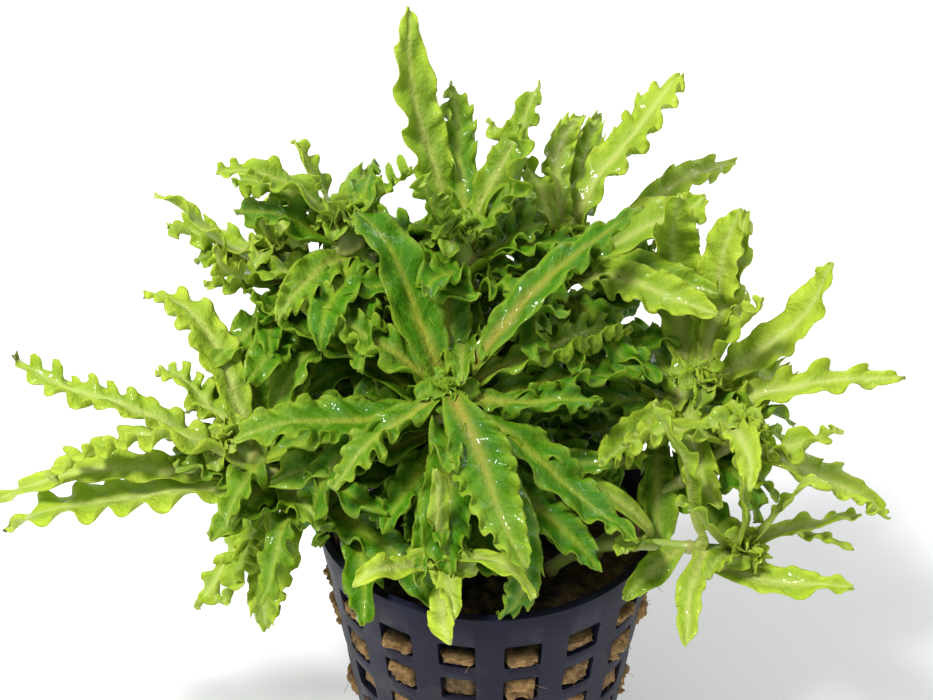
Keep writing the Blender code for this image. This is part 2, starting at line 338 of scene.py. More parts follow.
# %% Stem finish
stem_finish, stem_shader = new_finish(
    "living_stem_wet",
    IOR=1.40,
    Subsurface_Weight=0.5,
    Subsurface_Radius=(0.6, 1.0, 0.25),
    Subsurface_Scale=0.0012,
    Coat_Weight=0.2,
    Coat_Roughness=0.15,
)
m = stem_finish
where = add_node(m, "TexCoord", out="Object")
mottle = add_node(
    m, "TexNoise", {"Vector": where, "Scale": 420.0, "Detail": 3.0}, out="Fac"
)
skin = add_node(
    m, "Mix", {0: mottle, 6: linear("#7d9430"), 7: linear("#a9bb60")},
    out=2, data_type="RGBA",
)
node_ring = add_node(m, "Attribute", out="Fac", attribute_name="node_ring")
pinkness = add_node(m, "Math", {0: node_ring, 1: 0.5}, operation="MULTIPLY")
buried = add_node(m, "Attribute", out="Fac", attribute_name="buried")
for share, colour in ((pinkness, linear("#a0825c")), (buried, linear("#4a3315"))):
    skin = add_node(m, "Mix", {0: share, 6: skin, 7: colour}, out=2, data_type="RGBA")
feed(m, skin, stem_shader, "Base Color")
stem_gloss = add_node(m, "Math", {0: mottle, 1: 0.2, 2: 0.3}, operation="MULTIPLY_ADD")
feed(m, stem_gloss, stem_shader, "Roughness")

# %% [markdown]
# ### Moulded pot plastic
#
# Net pots are injection moulded polypropylene, nearly black with a blue cast. The mould
# leaves a fine satin skin, and handling leaves scuffs and dried film.

# %% Pot finish
pot_finish, pot_shader = new_finish(
    "moulded_polypropylene", IOR=1.49, Specular_IOR_Level=0.13
)
m = pot_finish
where = add_node(m, "TexCoord", out="Object")
cloud = add_node(m, "TexNoise", {"Vector": where, "Scale": 120.0, "Detail": 5.0}, out="Fac")
plastic = add_node(
    m, "Mix", {0: cloud, 6: linear("#111222"), 7: linear("#1b1c2f")},
    out=2, data_type="RGBA",
)
squashed = add_node(m, "Mapping", {"Vector": where, "Scale": (1.0, 1.0, 3.5)})
scuffs = add_node(
    m, "TexNoise", {"Vector": squashed, "Scale": 260.0, "Detail": 6.0, "Roughness": 0.65},
    out="Fac",
)
worn = add_node(
    m, "MapRange", {"Value": scuffs, "From Min": 0.58, "From Max": 0.76, "To Max": 0.22}
)
dust = add_node(
    m, "MapRange", {"Value": cloud, "From Min": 0.6, "From Max": 0.8, "To Max": 0.45}
)
for share, colour in ((worn, linear("#4b4b5c")), (dust, linear("#54483a"))):
    plastic = add_node(
        m, "Mix", {0: share, 6: plastic, 7: colour}, out=2, data_type="RGBA"
    )
feed(m, plastic, pot_shader, "Base Color")
satin = add_node(m, "Math", {0: scuffs, 1: 0.35, 2: 0.3}, operation="MULTIPLY_ADD")
feed(m, satin, pot_shader, "Roughness")
grain = add_node(
    m, "TexNoise", {"Vector": where, "Scale": 1500.0, "Detail": 2.0}, out="Fac"
)
pot_bump = add_node(m, "Bump", {"Height": grain, "Strength": 0.3, "Distance": 0.00008})
feed(m, pot_bump, pot_shader, "Normal")

# %% [markdown]
# ### Rock wool
#
# Rock wool is spun from molten rock into fibres finer than hair and pressed into felt.
# Wet and brown with algae, it shows light tufts; its hollows and the plug behind the pot
# wall are painted near black as shade, and tufts that stand out are given painted light,
# so the colour follows a painted light mark, which the mesh below sets.

# %% Wool finish
wool_finish, wool_shader = new_finish("rock_wool_felt_damp", IOR=1.45, Roughness=0.9)
m = wool_finish
where = add_node(m, "TexCoord", out="Object")
clumps = add_node(
    m, "TexNoise", {"Vector": where, "Scale": 520.0, "Detail": 8.0, "Roughness": 0.7},
    out="Fac",
)
drawn_out = add_node(m, "Mapping", {"Vector": where, "Scale": (1.0, 1.0, 0.35)})
strands = add_node(
    m, "TexNoise", {"Vector": drawn_out, "Scale": 2400.0, "Detail": 3.0, "Distortion": 1.2},
    out="Fac",
)
felt_relief = add_node(
    m, "Math", {0: strands, 1: 0.45, 2: clumps}, operation="MULTIPLY_ADD"
)
shade = add_node(m, "MapRange", {"Value": felt_relief, "From Min": 0.5, "From Max": 0.95})
felt = add_node(
    m, "Mix", {0: shade, 6: linear("#3a240e"), 7: linear("#c39c62")},
    out=2, data_type="RGBA",
)
# Painted light: at 0 the felt is painted near black as shade, at 1 it shows its own colour.
painted_light = add_node(m, "Attribute", out="Fac", attribute_name="painted_light")
felt = add_node(
    m, "Mix", {0: painted_light, 6: linear("#0d0704"), 7: felt}, out=2, data_type="RGBA"
)
feed(m, felt, wool_shader, "Base Color")
wool_bump = add_node(
    m, "Bump", {"Height": felt_relief, "Strength": 0.9, "Distance": 0.0005}
)
feed(m, wool_bump, wool_shader, "Normal")

# %% Floor
deselect_all()
bpy.ops.mesh.primitive_plane_add(size=6, location=(0, 0, 0))
floor = named("floor")
floor_finish, floor_shader = new_finish("white_paper", Roughness=0.9)
floor_shader.inputs["Base Color"].default_value = linear("#f8f8f7")
m = floor_finish
paper = add_node(
    m, "TexNoise",
    {"Vector": add_node(m, "TexCoord", out="Object"), "Scale": 900.0, "Detail": 2.0},
    out="Fac",
)
paper_bump = add_node(m, "Bump", {"Height": paper, "Strength": 0.05, "Distance": 0.0001})
feed(m, paper_bump, floor_shader, "Normal")
floor.data.materials.append(floor_finish)

# %% [markdown]
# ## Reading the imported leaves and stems
#
# A packed leaf is a lean solid: eight rings of four points, closed by a tip. Counting
# steps from the tip over the edges finds the rings again. In each ring the two points
# furthest apart are the edges of the blade, the other two lie above and below its
# midrib, and the edges stand a little above it, which says which side is the face.

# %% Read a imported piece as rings


def welded(node):
    """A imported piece's points, each once, and the neighbours of each point."""
    mesh = nodes[node].data
    places = places_of(mesh)
    numbers, points, of_vertex = {}, [], []
    for place in places:
        key = tuple(np.round(place / 2e-6).astype(int))
        if key not in numbers:
            numbers[key] = len(points)
            points.append(place)
        of_vertex.append(numbers[key])
    neighbours = [set() for _ in points]
    for polygon in mesh.polygons:
        corners = [of_vertex[v] for v in polygon.vertices]
        for a, b in zip(corners, corners[1:] + corners[:1]):
            neighbours[a].add(b)
            neighbours[b].add(a)
    return np.array(points), neighbours


def layers_from(start, neighbours):
    """Groups of points by how many steps they are from the start."""
    seen, layers = set(start), [sorted(start)]
    while True:
        ahead = sorted({n for p in layers[-1] for n in neighbours[p]} - seen)
        if not ahead:
            return layers
        seen |= set(ahead)
        layers.append(ahead)


def unit(vectors):
    return vectors / np.maximum(np.linalg.norm(vectors, axis=-1, keepdims=True), 1e-12)


def read_leaf(node):
    """The midrib from base to tip, the direction that the blade faces, its width."""
    points, neighbours = welded(node)
    for tip in range(len(points)):
        layers = layers_from([tip], neighbours)
        if [len(layer) for layer in layers] == [1] + [4] * 8:
            break
    else:
        raise ValueError(f"{node} isn't eight rings and a tip")
    midrib, faces, widths = [], [], []
    for layer in reversed(layers[1:]):
        ring = points[layer]
        spans = np.linalg.norm(ring[:, None] - ring[None], axis=2)
        left, right = np.unravel_index(np.argmax(spans), spans.shape)
        others = [k for k in range(4) if k not in (left, right)]
        middle = ring[others].mean(axis=0)
        midrib.append(middle)
        faces.append(unit((ring[left] + ring[right]) / 2 - middle))
        widths.append(spans[left, right])
    midrib.append(points[tip])
    faces.append(faces[-1])
    return np.array(midrib), np.array(faces), max(widths)


def read_stem(node):
    """The stem's centre line from its foot to its growing tip, and its radii."""
    points, neighbours = welded(node)
    foot = np.argsort(points[:, 2])[:8]
    layers = layers_from(list(foot), neighbours)
    rings = [points[layer] for layer in layers]
    line = np.array([ring.mean(axis=0) for ring in rings])
    radii = np.array(
        [np.linalg.norm(r - c, axis=1).mean() for r, c in zip(rings, line)]
    )
    keep = radii > 0.3 * MM
    return line[keep], radii[keep]


stem_lines = {
    name[5:]: read_stem(name) for name in nodes if name.startswith("stem_")
}
leaf_nodes = sorted(
    (name for name in nodes if name.startswith("leaf_")),
    key=lambda name: (name.rsplit("_", 1)[0], int(name.rsplit("_", 1)[1])),
)
for name, (line, radii) in stem_lines.items():
    print("stem", name, "rings", len(line), "tip", np.round(line[-1] / MM, 1))
print("packed leaves:", len(leaf_nodes))

# %% [markdown]
# ## Curves
#
# A midrib and a stem are both smooth lines through a few known points. They are resampled
# at even steps, so that one straight blank can be bent along any of them.

# %% Resample a line


def even_line(points, count, extra=None, fine=14):
    """Evenly spaced places on a smooth curve through points, and extra carried along."""
    points = np.asarray(points, dtype=float)
    gaps = np.maximum(np.linalg.norm(np.diff(points, axis=0), axis=1), 1e-7)
    at = np.concatenate([[0], np.cumsum(gaps)])
    speeds = np.diff(points, axis=0) / gaps[:, None]
    slopes = np.empty_like(points)
    slopes[0], slopes[-1] = speeds[0], speeds[-1]
    weight = gaps[1:] / (gaps[1:] + gaps[:-1])
    slopes[1:-1] = speeds[:-1] * weight[:, None] + speeds[1:] * (1 - weight)[:, None]
    t = np.linspace(0, 1, fine, endpoint=False)[:, None]
    dense, dense_at = [], []
    for k, gap in enumerate(gaps):
        a, b, p, q = points[k], points[k + 1], slopes[k] * gap, slopes[k + 1] * gap
        dense.append(
            a * (2 * t**3 - 3 * t**2 + 1) + p * (t**3 - 2 * t**2 + t)
            + b * (3 * t**2 - 2 * t**3) + q * (t**3 - t**2)
        )
        dense_at.append(at[k] + gap * t[:, 0])
    dense = np.vstack(dense + [points[-1:]])
    dense_at = np.concatenate(dense_at + [at[-1:]])
    run = np.concatenate([[0], np.cumsum(np.linalg.norm(np.diff(dense, axis=0), axis=1))])
    wanted = np.linspace(0, run[-1], count)
    places = np.column_stack([np.interp(wanted, run, dense[:, k]) for k in range(3)])
    if extra is None:
        return places, run[-1]
    source = np.interp(wanted, run, dense_at)
    carried = np.column_stack([np.interp(source, at, extra[:, k]) for k in range(3)])
    return places, run[-1], carried


def directions_of(places):
    return unit(np.gradient(places, axis=0))


# %% [markdown]
# ## The leaf blank
#
# All leaves share one build, so one flat blank is modelled once: a grid, long and narrow,
# which Solidify makes a thin closed slab. Each leaf is then a copy of the blank whose
# points are moved in code, because no modifier knows how such a leaf grows: its edge is
# longer than its middle, and so it has to fold into waves.

# %% Model the blanks
LEAF_STEPS, LEAF_STRIPS = 96, 14
INNER_STEPS, INNER_STRIPS = 54, 8
LEAFLET_STEPS, LEAFLET_STRIPS = 22, 4


def model_blank(name, steps, strips):
    deselect_all()
    bpy.ops.mesh.primitive_grid_add(x_subdivisions=steps, y_subdivisions=strips, size=1)
    blank = named(name)
    apply_modifier(blank, "SOLIDIFY", thickness=0.02, offset=0)
    bpy.ops.object.shade_smooth()
    flat = places_of(blank.data)
    step = np.rint((flat[:, 0] + 0.5) * steps).astype(int)
    # The blade's right side is the blank's -Y, which keeps its faces pointing outwards.
    strip = np.rint((0.5 - flat[:, 1]) * strips).astype(int)
    upper = flat[:, 2] > 0
    print(name, "faces:", len(blank.data.polygons))
    return blank, step, strip, upper, steps, strips


leaf_blank = model_blank("leaf_blank", LEAF_STEPS, LEAF_STRIPS)
inner_blank = model_blank("inner_blank", INNER_STEPS, INNER_STRIPS)
leaflet_blank = model_blank("leaflet_blank", LEAFLET_STEPS, LEAFLET_STRIPS)

# %% [markdown]
# The blade starts as a strap on the stem, is widest past its middle and ends in a blunt
# point. Its edge waves about every 4 mm. Up and down alone would look like a ribbon, so
# each fold also swings along the leaf and in towards the midrib. The folds lean towards
# the tip, along the side veins, and no two are quite alike.

# %% Grow a leaf from the blank
WAVE = 4.3 * MM
STRIP_PLACES = np.array([0, 0.085, 0.20, 0.38, 0.57, 0.74, 0.88, 1.0])

LEAF_HABIT = {
    "ruffle": 1.0,  # height of the edge's folds
    "wave": 1.0,  # length of a fold, beside the usual
    "youth": 0.5,  # 0 is deep green, 1 is lime
    "blush": 0.3,  # brown-pink in the midrib
    "scorch": 0.0,  # a browned tip
    "twist": 0.0,  # degrees from base to tip
    "fold": 0.22,  # how far the edges stand above the midrib
    "roll": 0.0,  # degrees of tilt about the midrib
    "calm": 0.30,  # the share of the length before the folds are full
}


def half_width(along, width, base):
    """Half the blade's width at each share of its length."""
    swelling = smoothstep(0.0, 0.50, along) ** 0.85
    tip = np.clip((along - 0.50) / 0.50, 0, 1)
    closing = np.clip(1 - tip**2.4, 0, 1) ** 0.68
    half = (base + (width / 2 - base) * swelling) * closing
    return np.maximum(half, 0.10 * MM)


def square_to(ahead, facing):
    """A facing made square to the way ahead, and the direction to the blade's side."""
    facing = unit(facing - ahead * (facing * ahead).sum(axis=1, keepdims=True))
    return facing, np.cross(ahead, facing)


def living_line(midrib, faces, count, habit, draw):
    """The midrib, swaying along its length and curling at its tip, with its directions."""
    line, length, facing = even_line(midrib, count, faces)
    along = np.linspace(0, 1, count)
    bow = draw.uniform(-1, 1, 2)
    facing, side = square_to(directions_of(line), facing)
    sway = np.sin(math.pi * along) * np.sin(TAU * (0.9 * along + bow[0]))
    heave = np.sin(math.pi * along) * np.sin(TAU * (1.1 * along + bow[1]))
    line = line + side * (0.018 * length * sway)[:, None]
    line = line + facing * (0.022 * length * heave)[:, None]
    # The last third curls up, down or aside.
    curl, hook = draw.uniform(-1, 1, 2)
    end = np.clip((along - 0.68) / 0.32, 0, 1)[:, None] ** 2
    line = line + (facing * curl * 0.065 + side * hook * 0.05) * length * end
    ahead = directions_of(line)
    facing, side = square_to(ahead, facing)
    turn = np.radians(habit["roll"] * smoothstep(0, 0.3, along) + habit["twist"] * along)
    turn = turn[:, None]
    return line, length, ahead, (
        facing * np.cos(turn) + side * np.sin(turn),
        side * np.cos(turn) - facing * np.sin(turn),
    )


# %% Fold one edge


def edge_folds(s, out, half, length, width, habit, grows, draw):
    """How high one edge's folds rise, how far they reach, how far they slide ahead."""
    wave = WAVE * habit["wave"]
    size = min(1.4 * MM, 0.38 * width) * habit["ruffle"]
    lean = out * half / length  # folds follow the side veins, 45 degrees forward
    start, drift, second = draw.uniform(0, TAU, 3)
    beat = draw.uniform(0.6, 1.6)
    fold = (s - lean) * length / wave + start + 0.30 * np.sin(TAU * beat * s + drift)
    phase = TAU * fold
    # Every fold has its own height and its own reach.
    count = int(length / wave) + 12
    heights, reaches = draw.uniform(0.35, 1.30, count), draw.uniform(0.30, 1.20, count)
    # Stretches of three folds or so are calmer or wilder than the rest.
    knots = np.arange(0, count + 3, 3)
    stretch = np.interp(np.arange(count), knots, draw.uniform(0.50, 1.25, len(knots)))
    number = np.clip(fold - start + 2, 0, count - 1)
    own_height = np.interp(number, np.arange(count), heights * stretch)
    own_reach = np.interp(number, np.arange(count), reaches * stretch)
    swing = size * own_height * grows
    height = swing * out**1.8 * (np.cos(phase) + 0.22 * np.cos(2 * phase + second))
    # Rounded lobes with narrow notches, where the edge stands up.
    lobe = 1 - np.abs(np.sin(phase / 2)) ** 0.85
    reach = 1 - 0.30 * habit["ruffle"] * grows * own_reach * out**2.2 * lobe
    reach = reach * (1 + 0.13 * np.sin(TAU * beat * s + second) * grows)
    # A fold is fuller at its crest than at its foot, like a meander.
    slide = 0.34 * swing * out**2 * np.sin(2 * phase)
    return height, reach, slide


# %% Shape the whole blade


def blade(midrib, faces, width, habit, seed, blank, base=0.95 * MM):
    """Places for all the points of a blank, and what the finish needs to know there."""
    _, step, strip, upper, steps, strips = blank
    draw = np.random.default_rng(seed)
    line, length, ahead, (facing, side) = living_line(midrib, faces, steps + 1, habit, draw)
    shares = STRIP_PLACES if strips == LEAF_STRIPS else np.linspace(0, 1, strips // 2 + 1)
    v = np.concatenate([-shares[:0:-1], shares])[None, :]
    out = np.abs(v)
    s = np.linspace(0, 1, steps + 1)[:, None]
    half = half_width(s[:, 0], width, base)[:, None]
    calm = habit["calm"]
    grows = smoothstep(calm / 3, calm, s) * (1 - 0.35 * smoothstep(0.88, 1.0, s))
    folds = np.empty((3, steps + 1, v.shape[1]))
    for here in (v[0] <= 0, v[0] > 0):
        one_edge = edge_folds(s, out, half, length, width, habit, grows, draw)
        folds[:, :, here] = np.array(one_edge)[:, :, here]
    fold_height, fold_reach, fold_slide = folds
    pucker, side_pucker = draw.uniform(0, TAU, 2)
    swell = 0.42 * MM * grows * (
        np.sin(TAU * s * length / (6.5 * MM) + pucker + 1.5 * v)
        + 0.6 * np.sin(TAU * s * length / (9.5 * MM) + side_pucker - 2.2 * v)
    ) * smoothstep(0.05, 0.5, out)
    keel = habit["fold"] * half * out**1.35
    vein = (s * length - out * half) / VEIN_SPACING
    quilt = 0.05 * MM * np.cos(TAU * vein) * np.sin(math.pi * np.clip(out * 1.1, 0, 1))
    lift = keel + fold_height + swell - quilt * smoothstep(0.12, 0.3, s)
    surface = (
        line[:, None, :]
        + side[:, None, :] * (half * v * fold_reach)[..., None]
        + facing[:, None, :] * lift[..., None]
        + ahead[:, None, :] * fold_slide[..., None]
    )
    # The sheet is thickest at its midrib, which stands out below, and thin at its edges.
    normal = unit(np.cross(np.gradient(surface, axis=1), np.gradient(surface, axis=0)))
    from_rib = np.abs(half * v)
    rib = np.exp(-((from_rib / (0.52 * MM)) ** 2))
    taper = (1 - 0.72 * s) * min(1.0, width / (4.5 * MM))
    sheet = 0.13 * MM * min(1.0, 0.5 + width / (9 * MM)) * (1 - 0.62 * out**3)
    above = sheet - 0.20 * MM * rib * taper * smoothstep(0.0, 0.15, s)
    below = sheet + 0.62 * MM * rib * taper
    top = surface + normal * above[..., None]
    bottom = surface - normal * below[..., None]
    places = np.where(upper[:, None], top[step, strip], bottom[step, strip])
    # Leaves at the middle of the bunch are the deepest green, partly as painted shade, and outer
    # ones bleach and are painted lighter, as painted light.
    from_axis = np.hypot(surface[..., 0], surface[..., 1])
    lit = 0.34 * (smoothstep(12 * MM, 52 * MM, from_axis) - 0.60)
    stripe = np.exp(-((from_rib / ((1.15 - 0.85 * s) * MM)) ** 2)) * (1 - 0.60 * s)
    marks = {
        "across": np.broadcast_to(out, surface.shape[:2]),
        "vein": vein,
        "rib": stripe,
        "youth": np.clip(habit["youth"] + 0.24 * (s - 0.5) + lit, 0, 1),
        "blush": np.clip(habit["blush"] * (1 - 0.5 * s) + 0 * v, 0, 1),
        "scorch": habit["scorch"] * smoothstep(0.955, 0.995, s) + 0 * v,
    }
    return places, {name: values[step, strip] for name, values in marks.items()}


# %% Make a leaf from its blade


def new_piece(name, mesh, finish):
    """Links a mesh in as an object of its own, with one finish."""
    mesh.name = name
    mesh.materials.clear()
    mesh.materials.append(finish)
    piece = bpy.data.objects.new(name, mesh)
    scene.collection.objects.link(piece)
    return piece


def make_leaf(name, midrib, faces, width, habit, seed, blank=None, base=1.1 * MM):
    blank = blank or leaf_blank
    places, marks = blade(midrib, faces, width, {**LEAF_HABIT, **habit}, seed, blank, base)
    mesh = blank[0].data.copy()
    put_places(mesh, places)
    for mark_name, values in marks.items():
        mark(mesh, mark_name, values)
    return new_piece(name, mesh, leaf_finish)


# %% [markdown]
# ## The leaves that were packed
#
# Each packed leaf is replaced by a grown one on the same midrib. A petiole has to leave
# its stem, so the midrib is first led back to the stem's centre line, a little lower
# down. The lower a leaf sits, the darker it is, and a few have a habit of their own.

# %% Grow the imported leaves
SHOOT_HABIT = {
    "centre": {"youth": 0.16, "blush": 0.5, "calm": 0.40},
    "left": {"youth": 0.60, "blush": 0.15},
    "left_back": {"youth": 0.66},
    "left_top": {"youth": 0.52, "blush": 0.4},
    "top_left": {"youth": 0.50, "blush": 0.4},
    "top_right": {"youth": 0.60},
    "right": {"youth": 0.60},
    "right_side": {"youth": 0.70},
    "runner": {"youth": 0.58, "ruffle": 0.45, "calm": 0.7},
    "front": {"youth": 0.80, "ruffle": 0.4, "calm": 0.6},
}
OWN_HABIT = {
    "leaf_centre_1": {"ruffle": 0.30, "youth": 0.12, "blush": 0.6},
    "leaf_centre_2": {"ruffle": 0.55, "youth": 0.14, "blush": 0.9, "slim": 0.66},
    "leaf_centre_3": {"ruffle": 0.85, "youth": 0.24, "blush": 0.8, "twist": 5, "roll": 0},
    "leaf_centre_4": {"ruffle": 1.0, "youth": 0.30},
    "leaf_centre_6": {"ruffle": 1.5, "youth": 0.34, "wave": 0.8},
    "leaf_centre_7": {"ruffle": 1.2, "youth": 0.46},
    "leaf_centre_8": {"ruffle": 0.55, "youth": 0.08},
    "leaf_centre_9": {"ruffle": 0.95, "youth": 0.20},
    "leaf_centre_10": {"ruffle": 0.9, "youth": 0.20},
    "leaf_centre_11": {"ruffle": 0.40, "youth": 0.12},
    "leaf_left_1": {"scorch": 0.8, "ruffle": 0.95},
    "leaf_left_5": {"scorch": 0.9, "ruffle": 0.8, "wave": 1.6},
    "leaf_left_4": {"scorch": 0.7, "ruffle": 0.7, "wave": 1.5, "slim": 1.3},
    "leaf_right_1": {"ruffle": 0.55, "youth": 0.70},
    "leaf_right_2": {"ruffle": 0.45, "youth": 0.78},
    "leaf_right_3": {"scorch": 0.5, "youth": 0.72},
    "leaf_top_left_3": {"youth": 0.60, "ruffle": 0.7, "slim": 0.92, "wave": 1.2},
}


def off_the_stem(shoot, midrib, samples=200, drop=0.9 * MM):
    """Leads a midrib back to its stem's centre line, slightly lower down."""
    line, _ = stem_lines[shoot]
    fine, length = even_line(line, samples)
    near = int(np.argmin(np.linalg.norm(fine - midrib[0], axis=1)))
    lower = max(near - max(1, round(samples * drop / length)), 0)
    return np.vstack([fine[lower], midrib])


SPREAD_WIDTH = 1.36  # packed leaves are lean, and folds take up some of the width


def shoot_habit(shoot, seed, ruffle, wave, shade, **common):
    """A habit like its shoot's, with a twist, a ruffle and a shade of the leaf's own."""
    draw = np.random.default_rng(seed + 5000)
    habit = {
        "twist": draw.uniform(-28, 28),
        "roll": draw.uniform(-14, 14),
        "ruffle": draw.uniform(*ruffle),
        "wave": draw.uniform(*wave),
        **common,
        **SHOOT_HABIT[shoot],
    }
    habit["youth"] += draw.uniform(*shade)
    return habit


for seed, name in enumerate(leaf_nodes, 100):
    shoot = name[5:].rsplit("_", 1)[0]
    midrib, faces, width = read_leaf(name)
    midrib = off_the_stem(shoot, midrib)
    faces = np.vstack([faces[0], faces])
    habit = shoot_habit(shoot, seed, (0.7, 1.15), (0.8, 1.45), (-0.10, 0.10))
    habit.update(OWN_HABIT.get(name, {}))
    width *= SPREAD_WIDTH * habit.pop("slim", 1.0)
    leaf = make_leaf(f"blade_{name[5:]}", midrib, faces, width, habit, seed)
    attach(leaf, "root")
    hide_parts(name)
print("grown leaves:", len(leaf_nodes))

# %% [markdown]
# ## The lower leaves
#
# Under the leaves that show their whole length, many more fill the bunch. They aren't
# packed one by one, because the bunch would be too dense to keep them apart. Each row
# says how far down its stem a leaf sits (mm), its bearing from +X, the slope of its
# base, how far that slope falls to the tip, how far its bearing swings (degrees), its
# length and its width (mm).

# %% Grow the lower leaves
LOWER_LEAVES = {
    "centre": (
        (2, 356, 1, 7, 8, 22, 3.6), (6, 295, 18, 150, 11, 41, 4.5),
        (7, 255, -35, -8, 4, 25, 2.8), (8, 195, 30, 150, 19, 34, 5),
        (9, 60, 25, 30, 5, 30, 5), (10, 110, 20, 20, 5, 28, 5),
        (10, 315, 5, 50, 5, 30, 5), (12, 150, 20, 60, 0, 30, 5),
        (12, 225, 5, 50, 5, 17, 5),
        (14, 10, 10, 60, 5, 28, 5), (15, 335, 0, 60, 0, 24, 5),
    ),
    "left": (
        (5, 141, 48, 70, -15, 22, 4), (10, 299, 10, 33, 16, 13, 4),
        (8, 90, 30, 50, 10, 20, 4), (12, 235, -20, 50, 5, 20, 5),
    ),
    "left_back": (
        (1, 253, 71, 13, 2, 12, 2.4), (7, 150, 30, 40, 5, 22, 4.5),
        (9, 100, 30, 40, 5, 22, 4.5), (10, 270, 10, 60, 5, 20, 4.5),
    ),
    "left_top": (
        (5, 348, 63, 17, -24, 19, 3), (6, 150, 45, 60, 5, 22, 5),
        (8, 240, 30, 60, 0, 22, 5), (10, 90, 40, 60, 0, 22, 5),
        (13, 180, 20, 50, 0, 24, 5), (14, 300, 20, 50, 0, 20, 5),
    ),
    "top_left": (
        (8, 13, 45, 31, 0, 15, 4.4), (2, 238, 52, -11, 13, 20, 4.2),
        (6, 90, 60, 40, 0, 28, 5), (9, 160, 40, 50, 0, 26, 5),
        (12, 60, 40, 50, 0, 26, 5), (13, 270, 20, 40, 0, 22, 5),
    ),
    "top_right": (
        (4, 97, 84, 133, -27, 31, 3.4), (7, 75, 50, 50, 0, 28, 5),
        (9, 340, 35, 60, 0, 26, 5), (10, 200, 40, 40, 0, 24, 5),
        (13, 120, 40, 60, 0, 26, 5), (14, 20, 25, 50, 0, 28, 5),
    ),
    "right": (
        (2, 356, 64, 7, -7, 18, 4.4), (1, 60, 70, 30, 5, 26, 4),
        (8, 60, 35, 50, 0, 26, 5), (9, 320, 5, 50, 0, 22, 5),
        (10, 150, 35, 50, 0, 22, 5), (12, 270, -10, 50, 0, 22, 5),
        (14, 20, 10, 60, 0, 26, 5),
    ),
    "right_side": (
        (3, 341, -15, -90, -4, 17, 3), (4, 200, 40, 60, 0, 18, 4.5),
        (5, 60, 25, 50, 0, 22, 4.5), (8, 120, 30, 50, 0, 22, 4.5),
    ),
    "runner": (
        (1, 22, 24, 56, 2, 20, 2.8), (10, 226, 1, 28, 2, 13, 3.6),
        (14, 234, 41, 24, 24, 17, 3.6), (3, 213, 60, 15, 9, 19, 3.4),
        (2, 153, 100, 31, 0, 17, 2.8), (2, 237, 32, 39, 8, 12, 2.8),
        (2, 11, 45, -14, -8, 17, 2.4),
    ),
    "front": (
        (2, 284, 19, 42, -15, 12, 2.8), (3, 236, 88, 8, 5, 19, 2.6),
    ),
}


def arch(place, outs, upward, slopes, stride):
    """A midrib and its facing, laid out in strides that each have their own slope."""
    midrib, faces = [], []
    for out, slope in zip(outs, slopes):
        midrib.append(place)
        faces.append(upward * math.cos(slope) - out * math.sin(slope))
        place = place + (out * math.cos(slope) + upward * math.sin(slope)) * stride
    return np.array(midrib), np.array(faces)


STEM_SAMPLES = 300
STRIDES = 12


def grow_from_stem(shoot, down, bearing, rise, droop, sweep, length):
    """A midrib and its facing, from a place on a stem to a tip twelve strides away."""
    fine, stem_length = even_line(stem_lines[shoot][0], STEM_SAMPLES)
    last = STEM_SAMPLES - 1
    near = max(1, last - round(last * down * MM / stem_length))
    share = np.arange(STRIDES + 1) / STRIDES
    angle = np.radians(bearing + sweep * share)
    outs = np.column_stack([np.cos(angle), np.sin(angle), 0 * angle])
    slopes = np.radians(rise - droop * share)
    return arch(fine[near], outs, np.array([0, 0, 1]), slopes, length * MM / STRIDES)


def join(name, pieces):
    deselect_all()
    for piece in pieces:
        piece.select_set(True)
    bpy.context.view_layer.objects.active = pieces[0]
    bpy.ops.object.join()
    return named(name)


FULLER = 1.26  # folds take up width, so a blade is made wider than it will show
seed = 1000
for shoot, rows in LOWER_LEAVES.items():
    grown = []
    for number, (down, *habitus, length, width) in enumerate(rows, 1):
        midrib, faces = grow_from_stem(shoot, down, *habitus, length)
        habit = shoot_habit(
            shoot, seed, (0.95, 1.35), (0.75, 1.15), (-0.12, 0.08), calm=0.24
        )
        habit["youth"] -= 0.18 * min(1, down / 10)
        grown.append(
            make_leaf(f"{shoot}_{number}", midrib, faces, FULLER * width * MM, habit, seed)
        )
        seed += 1
    lower = join(f"lower_leaves_{shoot}", grown)
    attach(lower, "root")
    print("lower leaves", shoot, len(grown), "faces", len(lower.data.polygons))

# %% [markdown]
# ## Inner leaves
#
# Behind and below all these, old shaded leaves close the bunch, so that little light
# passes between the shoots. They sit in whorls of four down each stem, each whorl turned
# against the last, and are grown by rule from a coarser blank.

# %% Grow the inner leaves
INNER_WHORL_GAP = 4.0  # mm
BARE_SHOOTS = ("runner", "front", "right_side")
# The pot's mouth stays open to view at its front right, as boxes in mm.
OPEN_LOW, OPEN_HIGH = np.array([3.0, -30.0, 42.0]), np.array([32.0, -7.0, 66.0])


def blocks_the_mouth(midrib):
    spots = midrib / MM
    return bool(((spots > OPEN_LOW) & (spots < OPEN_HIGH)).all(axis=1).any())


